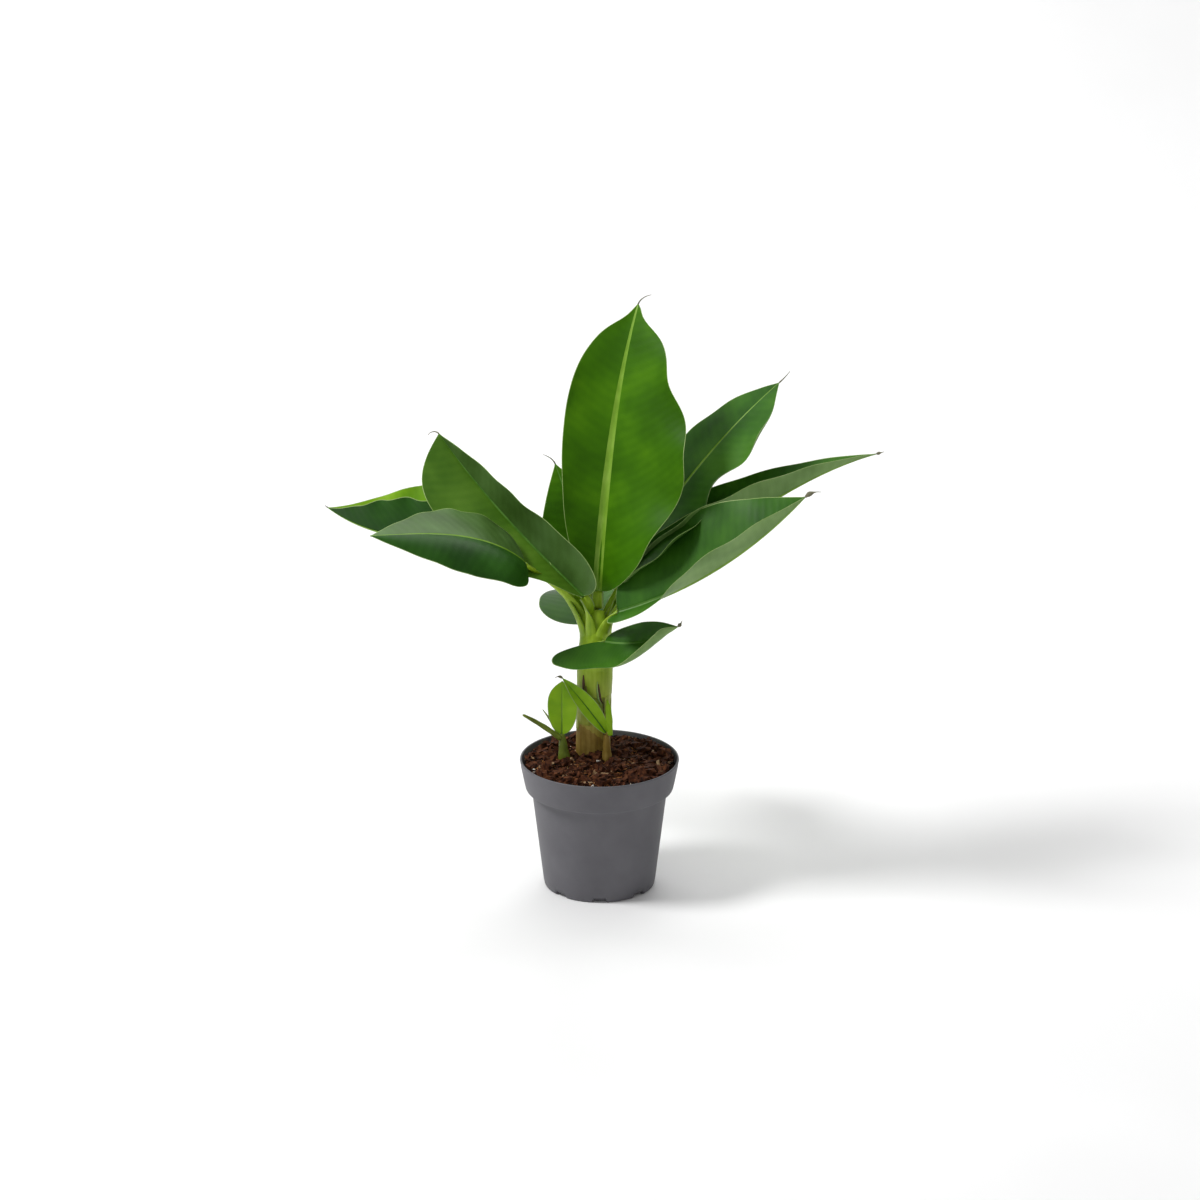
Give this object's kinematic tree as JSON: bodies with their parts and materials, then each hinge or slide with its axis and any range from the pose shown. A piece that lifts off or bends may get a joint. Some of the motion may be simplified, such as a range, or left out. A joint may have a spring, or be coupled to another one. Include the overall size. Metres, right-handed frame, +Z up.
{
  "type": "potted banana plant",
  "caption": "Young banana plant with a sheathed pseudostem, broad folded leaves and small suckers, in a round plastic nursery pot filled with soil.",
  "frame": {"origin": "Centre of the pot's flat underside, where the pot stands on the floor.", "axes": "+Z up along the pot's axis; +X towards the two long right-hand leaves; +Y towards the back, the way the tall centre leaf leans; the small low leaf and the suckers face -Y."},
  "size_m": [0.4266, 0.221, 0.4459],
  "materials": {
    "pot_plastic": "matte",
    "potting_mix": "matte",
    "stem_tissue": "satin",
    "petiole_tissue": "satin",
    "leaf_tissue": "satin",
    "sucker_leaf": "satin",
    "sucker_tissue": "satin"
  },
  "bodies": {
    "root": {"leaf_back": "leaf_tissue", "leaf_centre": "leaf_tissue", "leaf_centre_back": "leaf_tissue", "leaf_left_long": "leaf_tissue", "leaf_left_near": "leaf_tissue", "leaf_left_upper": "leaf_tissue", "leaf_low_front": "leaf_tissue", "leaf_right_long": "leaf_tissue", "leaf_right_near": "leaf_tissue", "leaf_right_upper": "leaf_tissue", "petiole_back": "petiole_tissue", "petiole_centre": "petiole_tissue", "petiole_centre_back": "petiole_tissue", "petiole_left_long": "petiole_tissue", "petiole_left_near": "petiole_tissue", "petiole_left_upper": "petiole_tissue", "petiole_low_front": "petiole_tissue", "petiole_right_long": "petiole_tissue", "petiole_right_near": "petiole_tissue", "petiole_right_upper": "petiole_tissue", "pot": "pot_plastic", "pseudostem": "stem_tissue", "soil": "potting_mix", "sucker_left_blade": "sucker_leaf", "sucker_left_spike_long": "sucker_tissue", "sucker_left_spike_short": "sucker_tissue", "sucker_left_stem": "sucker_tissue", "sucker_right_blade": "sucker_leaf", "sucker_right_roll": "sucker_tissue", "sucker_right_stem": "sucker_tissue"}
  },
  "joints": []
}
